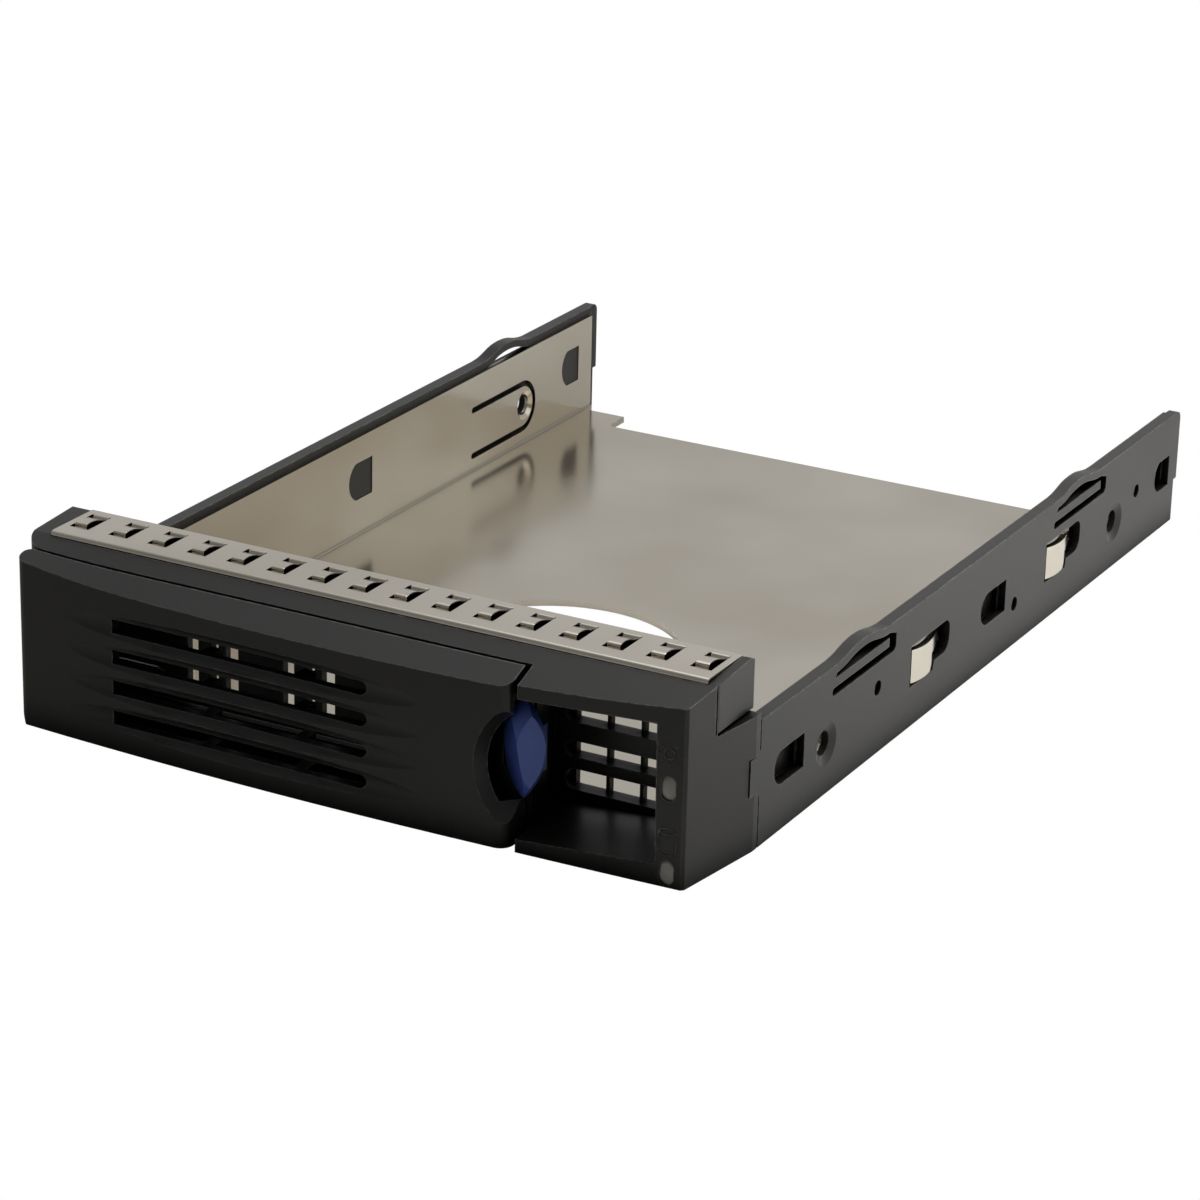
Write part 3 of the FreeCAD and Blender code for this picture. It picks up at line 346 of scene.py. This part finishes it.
# The strip's short reach and low shadow share paint shade between its fingers.
strip = steel(
    "strip_steel",
    dark=(0.66, 0.61, 0.52),
    light=(0.74, 0.69, 0.605),
    base=0.20,
    streaks=0.02,
    smudges=0.04,
    edge=0.06 * MM,
    shade_reach=0.6 * MM,
    shadow=0.15,
)
zinc = steel(
    "screw_steel",
    dark=(0.55, 0.55, 0.54),
    light=(0.62, 0.62, 0.61),
    base=0.3,
    streaks=0.04,
    smudges=0.05,
    edge=0.1 * MM,
)
bright = steel(
    "spring_steel",
    dark=(0.72, 0.72, 0.71),
    light=(0.80, 0.80, 0.79),
    base=0.2,
    streaks=0.03,
    smudges=0.03,
)
print("metals:", tray.name, strip.name, zinc.name, bright.name)

# %% [markdown]
# The fold between the tray's floor and its walls gets painted shade, so it is darker than the sheet.
# The mask is the distance from the fold line, taken on both sides at once by using the size of x.
# The strip ends 0.1 mm short of the tray's wall, and the floor is 1 mm thick, which places the line.

# %% Painted shade in the fold
FOLD = (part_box("emi_spring_strip")[1][0] + 0.1 * MM, 0.0, 1.0 * MM)
FOLD_SHADE_FULL = 0.2 * MM
FOLD_SHADE_END = 0.45 * MM
tree = tray.node_tree
where = add(tree, "ShaderNodeTexCoord")
split = add(tree, "ShaderNodeSeparateXYZ")
size_of_x = add(tree, "ShaderNodeMath", operation="ABSOLUTE")
across_fold = add(tree, "ShaderNodeCombineXYZ")
away = add(tree, "ShaderNodeVectorMath", operation="DISTANCE")
away.inputs[1].default_value = FOLD
# Painted shade: the colour is darkened within this distance of the fold line.
clear = add(tree, "ShaderNodeMapRange", From_Min=FOLD_SHADE_FULL, From_Max=FOLD_SHADE_END)
still_open = add(tree, "ShaderNodeMath", operation="MULTIPLY")
wire(tree, where, "Object", split, "Vector")
wire(tree, split, "X", size_of_x, 0)
wire(tree, size_of_x, "Value", across_fold, "X")
wire(tree, split, "Z", across_fold, "Z")
wire(tree, across_fold, "Vector", away, 0)
wire(tree, away, "Value", clear, "Value")
wire(tree, clear, "Result", still_open, 0)
print("fold at x", round(FOLD[0], 5), "z", FOLD[2])

# %% [markdown]
# The tray's material already paints shade into its deep corners. The new mask is multiplied into that same
# link, so that a point counts as open, with no painted shade, only where both agree.

# %% Join the painted fold shade to the tray
link = next(k for k in tree.links if k.from_socket.name == "Open")
dimmer = link.to_socket
wire(tree, link.from_node, "Open", still_open, 1)
tree.links.new(still_open.outputs["Value"], dimmer)
print("tray material:", len(tree.nodes), "nodes")

# %% [markdown]
# The lenses are milky: a little light travels inside before it comes out.

# %% Lens
lens, tree, shader = blank("milky_lens")
skin = use(tree, grain, Scale=900.0, Depth=0.03, Edge=0.3 * MM)
tone = mix_colour(tree, (0.20, 0.19, 0.165), (0.30, 0.28, 0.25))
wire(tree, skin, "Pits", tone, "Factor")
wire(tree, tone, "Result", shader, "Base Color")
wire(tree, skin, "Normal", shader, "Normal")
shader.inputs["Roughness"].default_value = 0.22
shader.inputs["Subsurface Weight"].default_value = 0.5
shader.inputs["Subsurface Scale"].default_value = 2 * MM
shader.inputs["Subsurface Radius"].default_value = (1.0, 0.95, 0.8)
print("materials:", [m.name for m in bpy.data.materials])

# %% [markdown]
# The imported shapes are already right, so each one only takes its material.

# %% Dress the nodes
finish = {
    "black_plastic": black,
    "blue_plastic": blue,
    "tray_steel": tray,
    "strip_steel": strip,
    "screw_steel": zinc,
    "spring_steel": bright,
    "lens_plastic": lens,
}
for part in frame["record"]["subparts"]:
    piece = nodes[part["node"]]
    piece.data.materials.clear()
    piece.data.materials.append(finish[part["material_slot"]])
    print(part["node"], "->", part["material_slot"])

# %% [markdown]
# The contact strip is pressed from thin springy sheet, with sixteen windows and a finger in each. Its place
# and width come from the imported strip's box. That one's arches stand 0.8 mm above its flat, and its width
# holds 15.8 pitches, because the rims at its two ends are a little narrower than half a bar.

# %% Strip measures
low_corner, high_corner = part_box("emi_spring_strip")
LEFT, RIGHT = low_corner[0], high_corner[0]
FOOT = low_corner[2]
TOP = high_corner[2] - 0.80 * MM
GAUGE = 0.30 * MM
COUNT = 16
PITCH = (RIGHT - LEFT) / 15.8
HALF_WINDOW = 1.55 * MM
WINDOW_FRONT = SEAM - 7.45 * MM
WINDOW_REAR = SEAM - 1.95 * MM
middles = (np.arange(COUNT) - (COUNT - 1) / 2) * PITCH + (LEFT + RIGHT) / 2
print("strip top", round(TOP, 5), "pitch", round(PITCH, 5))

# %% [markdown]
# A bent sheet follows one section: with s the distance along the section, every point is P(s) + n(s) * d,
# where n is the section's normal and d runs from 0 at the outer skin to the metal's thickness.
# Windows are cells of that sheet left out, and each open side of a cell is closed by a narrow face.


# %% Section helpers
def round_off(a, b, c, radius, steps=6):
    """Points that turn the corner at b from a toward c: a quadratic curve between b +- radius."""
    a, b, c = (np.array(p, float) for p in (a, b, c))
    start = b + (a - b) / np.linalg.norm(a - b) * radius
    end = b + (c - b) / np.linalg.norm(c - b) * radius
    t = np.linspace(0, 1, steps)[:, None]
    return (1 - t) ** 2 * start + 2 * t * (1 - t) * b + t**2 * end


def inward(path):
    """Unit normals of a section, turned to the right of its direction."""
    way = np.gradient(path, axis=0)
    way /= np.linalg.norm(way, axis=1)[:, None]
    return np.stack([way[:, 1], -way[:, 0]], axis=1)


def bent_sheet(xs, path, gauge, metal):
    """Closed sheet over a grid: x comes from xs, y and z from path, and metal says which cells are filled."""
    rows, cols = len(path), len(xs)
    x, i = np.meshgrid(xs, np.arange(rows))
    skins = []
    for skin in (path, path + inward(path) * gauge):
        skins.append(np.stack([x, skin[i, 0], skin[i, 1]], axis=2).reshape(-1, 3))
    under = rows * cols
    faces = []

    def filled(i, j):
        return 0 <= i < rows - 1 and 0 <= j < cols - 1 and metal[i, j]

    for i, j in np.argwhere(metal).tolist():
        a, b = i * cols + j, i * cols + j + 1
        c, d = b + cols, a + cols
        faces.append((a, b, c, d))
        faces.append((under + d, under + c, under + b, under + a))
        sides = ((a, b, (i - 1, j)), (b, c, (i, j + 1)), (c, d, (i + 1, j)), (d, a, (i, j - 1)))
        faces += [(q, p, under + p, under + q) for p, q, beside in sides if not filled(*beside)]
    return np.concatenate(skins), faces


# %% [markdown]
# Many small shells go into one mesh. `joined` lists their points one after another and shifts each shell's
# faces past the points before it, and `mesh_piece` makes the object, smooth but for its sharp corners.


# %% Mesh helpers
def joined(shells):
    points = []
    faces = []
    start = 0
    for shell_points, shell_faces in shells:
        points.append(shell_points)
        faces += [tuple(start + v for v in face) for face in shell_faces]
        start += len(shell_points)
    return np.concatenate(points), faces


def mesh_piece(name, shells, angle):
    points, faces = joined(shells)
    mesh = bpy.data.meshes.new(name)
    mesh.from_pydata(points.tolist(), [], faces)
    mesh.polygons.foreach_set("use_smooth", np.ones(len(mesh.polygons), bool))
    mesh.set_sharp_from_angle(angle=math.radians(angle))
    piece = bpy.data.objects.new(name, mesh)
    bpy.context.scene.collection.objects.link(piece)
    print(name, "has", len(shells), "shells and", len(mesh.polygons), "faces")
    return piece


# %% [markdown]
# The section starts at the rolled front lip, runs back along the flat, turns down behind the bezel and ends
# in a flange. Grid lines are laid exactly on the windows' edges, so that each window is a clean rectangle.
# The windows lie in one row of cells, which starts at the second point of the flat.

# %% Flat sheet of the strip
LIP_Y = SEAM - 10.3 * MM
LIP_Z = TOP - 0.7 * MM
TURN = 0.65 * MM
flat_y = np.array([SEAM - 8.5 * MM, WINDOW_FRONT, WINDOW_REAR, SEAM - 1.2 * MM])
flat = np.stack([flat_y, np.full(4, TOP)], axis=1)
lip = round_off((LIP_Y, LIP_Z), (LIP_Y, TOP), flat[0], TURN)
bend = round_off(flat[-1], (SEAM, TOP), (SEAM, FOOT), TURN)
section = np.concatenate([[(LIP_Y, LIP_Z)], lip, flat, bend, [(SEAM, FOOT)]])
window_sides = [middles - HALF_WINDOW, middles + HALF_WINDOW]
grid_x = np.sort(np.concatenate([(LEFT, RIGHT), *window_sides]))
metal = np.ones((len(section) - 1, len(grid_x) - 1), bool)
window_row = 1 + len(lip) + 1
metal[window_row, 1::2] = False
shells = [bent_sheet(grid_x, section, GAUGE, metal)]
print("windows:", int((~metal).sum()), "from y", round(section[window_row][0], 5))

# %% [markdown]
# Each finger starts low at the rear of its window, swells into an arch that stands a little proud of the
# flat, and tucks its front edge down again in a hem. Behind it a raised bar, wider than the finger,
# closes the window's rear edge. Both are outlined from the rear, in millimetres: how far behind
# the window's edge, and how far above the flat.

# %% Fingers of the strip
ARCH = np.array([
    (5.30, -0.34), (4.90, -0.24), (4.40, -0.08), (3.80, 0.14), (3.20, 0.32), (2.60, 0.45), (2.10, 0.51),
    (1.60, 0.51), (1.20, 0.48), (0.95, 0.42), (0.82, 0.33), (0.78, 0.22), (0.76, 0.0), (0.74, -0.20),
    (0.68, -0.32), (0.52, -0.40), (0.14, -0.42),
])
BAR = np.array([
    (-0.46, -0.50), (-0.42, -0.25), (-0.34, -0.05), (-0.20, 0.08), (-0.02, 0.12), (0.16, 0.08), (0.34, -0.03),
])
finger_path = (np.array((WINDOW_FRONT, TOP)) + ARCH * MM)[::-1]
bar_path = np.array((WINDOW_REAR, TOP)) + BAR * MM
pressings = (
    (finger_path, np.array((-1.10, 0.82)) * MM, 0.22 * MM),
    (bar_path, np.array((-1.10, 1.40)) * MM, 0.15 * MM),
)
for x in middles:
    for path, sides, gauge in pressings:
        shells.append(bent_sheet(x + sides, path, gauge, np.ones((len(path) - 1, 1), bool)))
contact_strip = mesh_piece("contact_strip", shells, angle=35)
contact_strip.data.materials.append(strip)
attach(contact_strip, "frame")
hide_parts("emi_spring_strip")

# %% [markdown]
# Two small signs are moulded into the column beside the lenses: a ring with rays for activity, and a drum
# for the disk. Each line is a thin bead, half sunk in the face: a circle swept along a short path.
# A point is path(s) + radius * (across(s) * cos a + y * sin a), with y square to the face.


# %% Beads
Y_AXIS = np.array((0, 1, 0))


def bead(path, radius, sides=8):
    """Tube around a path, narrower at its two flat ends, with outward faces."""
    path = np.array(path, float)
    way = np.gradient(path, axis=0)
    way /= np.linalg.norm(way, axis=1)[:, None]
    across = np.cross(way, Y_AXIS)
    sizes = np.ones((len(path), 1))
    sizes[[0, -1]] = 0.6
    rings = []
    for k in range(sides):
        a = 2 * math.pi * k / sides
        rings.append(path + (across * math.cos(a) + Y_AXIS * math.sin(a)) * radius * sizes)
    faces = []
    for i in range(len(path) - 1):
        near, far = i * sides, (i + 1) * sides
        for k in range(sides):
            n = (k + 1) % sides
            faces.append((near + k, far + k, far + n, near + n))
    faces.append(tuple(range(sides)))
    faces.append(tuple((len(path) - 1) * sides + k for k in reversed(range(sides))))
    return np.stack(rings, axis=1).reshape(-1, 3), faces


# %% [markdown]
# The signs sit on the column's face, above and below the upper lens and in line with it. Their own measures
# are in millimetres from the middle of each sign, and `on_face` turns them into places on the face,
# which runs back a little toward the right.

# %% Lines of the signs
pipe_low, pipe_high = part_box("upper_light_pipe")
COLUMN_X = (pipe_low[0] + pipe_high[0]) / 2
COLUMN_Y = pipe_low[1] + 0.05 * MM
FACE_SLOPE = 0.047
BEZEL_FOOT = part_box("bezel")[0][2]
SUN_Z = BEZEL_FOOT + 18.6 * MM
DRUM_Z = BEZEL_FOOT + 6.5 * MM
print("signs at x", round(COLUMN_X, 5), "z", round(SUN_Z, 5), "and", round(DRUM_Z, 5))


def on_face(dx, dz, middle_z):
    return (COLUMN_X + dx * MM, COLUMN_Y + FACE_SLOPE * dx * MM, middle_z + dz * MM)


# %% Ring with rays
RING = 0.75
RAY = (1.2, 1.45, 1.75)
sign_lines = []
for k in range(4):
    quarter = np.radians(np.linspace(90 * k, 90 * k + 90, 7))
    sign_lines.append([on_face(RING * math.cos(a), RING * math.sin(a), SUN_Z) for a in quarter])
for k in range(8):
    a = math.radians(45 * k)
    sign_lines.append([on_face(r * math.cos(a), r * math.sin(a), SUN_Z) for r in RAY])
print("ring and rays:", len(sign_lines), "lines")

# %% [markdown]
# The drum is drawn from a little above: its top is a whole oval, as a back and a front half, and its foot
# shows only the front half. A half oval is base + rise * sqrt(1 - b * b), with b from -1 to 1 across it.

# %% Drum
HALF_WIDTH = 1.25
DRUM_TOP = 1.3
DRUM_FOOT = -1.6
BACK_HALF = 0.45
FRONT_HALF = -0.35
across = np.linspace(-1, 1, 9)
for base, rise in ((DRUM_TOP, BACK_HALF), (DRUM_TOP, FRONT_HALF), (DRUM_FOOT, FRONT_HALF)):
    sign_lines.append([on_face(HALF_WIDTH * b, base + rise * math.sqrt(1 - b * b), DRUM_Z) for b in across])
for side in (-HALF_WIDTH, HALF_WIDTH):
    sign_lines.append([on_face(side, z, DRUM_Z) for z in (DRUM_TOP, 0.0, DRUM_FOOT)])
print("both signs:", len(sign_lines), "lines")

# %% [markdown]
# All the beads become one piece in the black of the bezel, because they are moulded with it.

# %% Column signs
BEAD = 0.11 * MM
signs = mesh_piece("column_signs", [bead(line, BEAD) for line in sign_lines], angle=60)
signs.data.materials.append(black)
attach(signs, "frame")

# %% [markdown]
# The floor is pale and plain. To the camera it is simply white, and to every other ray it is a pale sheet
# that takes light and throws some back. It lies a hair under the part, so that the two don't meet.

# %% Floor
bpy.ops.mesh.primitive_plane_add(size=6.0, location=(0, 0, -0.2 * MM))
floor = bpy.context.object
floor.name = "floor"
paper = bpy.data.materials.new("paper")
paper.use_nodes = True
tree = paper.node_tree
tree.nodes.clear()
out = add(tree, "ShaderNodeOutputMaterial")
ray = add(tree, "ShaderNodeLightPath")
white = add(tree, "ShaderNodeEmission", Color=(1, 1, 1, 1), Strength=1.0)
pale = add(tree, "ShaderNodeBsdfDiffuse", Color=(0.46, 0.455, 0.44, 1))
choose = add(tree, "ShaderNodeMixShader")
wire(tree, ray, "Is Camera Ray", choose, "Fac")
wire(tree, pale, "BSDF", choose, 1)
wire(tree, white, "Emission", choose, 2)
wire(tree, choose, "Shader", out, "Surface")
floor.data.materials.append(paper)
print("floor at z", round(floor.location.z, 5))

# %% [markdown]
# The world is a studio grey that fills the shadows from all sides. It is dimmer toward the front, so that
# the front faces stay dark beside the top, and only the camera sees it as white.

# %% World
FRONT_STRENGTH = 0.17
REAR_STRENGTH = 0.5
world = bpy.data.worlds.new("studio")
bpy.context.scene.world = world
world.use_nodes = True
tree = world.node_tree
room = tree.nodes["Background"]
room.inputs["Color"].default_value = (1, 1, 1, 1)
toward = add(tree, "ShaderNodeTexCoord")
split = add(tree, "ShaderNodeSeparateXYZ")
level = add(
    tree, "ShaderNodeMapRange", From_Min=-0.6, From_Max=0.3, To_Min=FRONT_STRENGTH, To_Max=REAR_STRENGTH
)
wire(tree, toward, "Generated", split, "Vector")
wire(tree, split, "Y", level, "Value")
wire(tree, level, "Result", room, "Strength")
plain = add(tree, "ShaderNodeBackground", Color=(1, 1, 1, 1), Strength=1.0)
ray = add(tree, "ShaderNodeLightPath")
choose = add(tree, "ShaderNodeMixShader")
wire(tree, ray, "Is Camera Ray", choose, "Fac")
wire(tree, room, "Background", choose, 1)
wire(tree, plain, "Background", choose, 2)
wire(tree, choose, "Shader", tree.nodes["World Output"], "Surface")
print("world strength from", FRONT_STRENGTH, "to", REAR_STRENGTH)

# %% [markdown]
# Four soft boxes, each aimed at a point. A broad one overhead and behind lights the top faces, one at the
# right lights the right rail and the column's side, a small one hangs over the floor beside that rail,
# and a low one at the left grazes the handle's front.


# %% Soft boxes
def soft_box(name, place, target, size, power, spread=180):
    lamp = bpy.data.lights.new(name, "AREA")
    lamp.spread = math.radians(spread)
    lamp.shape = "RECTANGLE"
    lamp.size, lamp.size_y = size
    lamp.energy = power
    holder = bpy.data.objects.new(name, lamp)
    bpy.context.scene.collection.objects.link(holder)
    holder.location = place
    holder.rotation_euler = (Vector(target) - Vector(place)).to_track_quat("-Z", "Y").to_euler()
    print(name, "box:", size, "m,", power, "W")


soft_box("overhead", place=(0.1, 0.45, 1.05), target=(0, 0.1, 0), size=(1.3, 1.3), power=3.5)
soft_box("right", place=(1.1, 0.3, 0.5), target=(0, 0.05, 0), size=(0.8, 0.7), power=0.8)
soft_box(
    "right_floor", place=(0.20, 0.06, 0.50), target=(0.17, 0.05, 0), size=(0.2, 0.2), power=0.55, spread=50
)
soft_box("left_rim", place=(-0.8, -0.2, 0.3), target=(0, 0, 0), size=(0.5, 0.5), power=1.2)

# %% [markdown]
# The camera stands off to the front right and a little above, with a long lens and a slight roll.
# Its axes are worked out first with a level horizon, and then turned about the line of sight by the roll.

# %% Camera
azimuth, elevation, roll = (math.radians(v) for v in (28.32, 21.11, 1.35))
STAND = (0.26922, -0.44664 + SEAM, 0.22747)
level_reach = math.cos(elevation)
back = Vector((math.sin(azimuth) * level_reach, -math.cos(azimuth) * level_reach, math.sin(elevation)))
right = (-back).cross(Vector((0, 0, 1))).normalized()
up = right.cross(-back)
rolled_right = right * math.cos(roll) + up * math.sin(roll)
rolled_up = up * math.cos(roll) - right * math.sin(roll)
turned = Matrix((rolled_right, rolled_up, back)).transposed().to_4x4()
camera = bpy.data.objects.new("camera", bpy.data.cameras.new("camera"))
bpy.context.scene.collection.objects.link(camera)
camera.matrix_world = Matrix.Translation(STAND) @ turned
camera.data.sensor_width = 36.0
camera.data.lens = 124.985
camera.data.shift_x = 0.00503
camera.data.shift_y = -0.01145
camera.data.clip_start = 0.05
camera.data.clip_end = 20.0
bpy.context.scene.camera = camera
print("camera at", np.round(camera.location, 4).tolist())

# %% [markdown]
# With the Standard view a colour comes out about as it was written.

# %% Colour
bpy.context.scene.view_settings.view_transform = "Standard"
print("view:", bpy.context.scene.view_settings.view_transform)
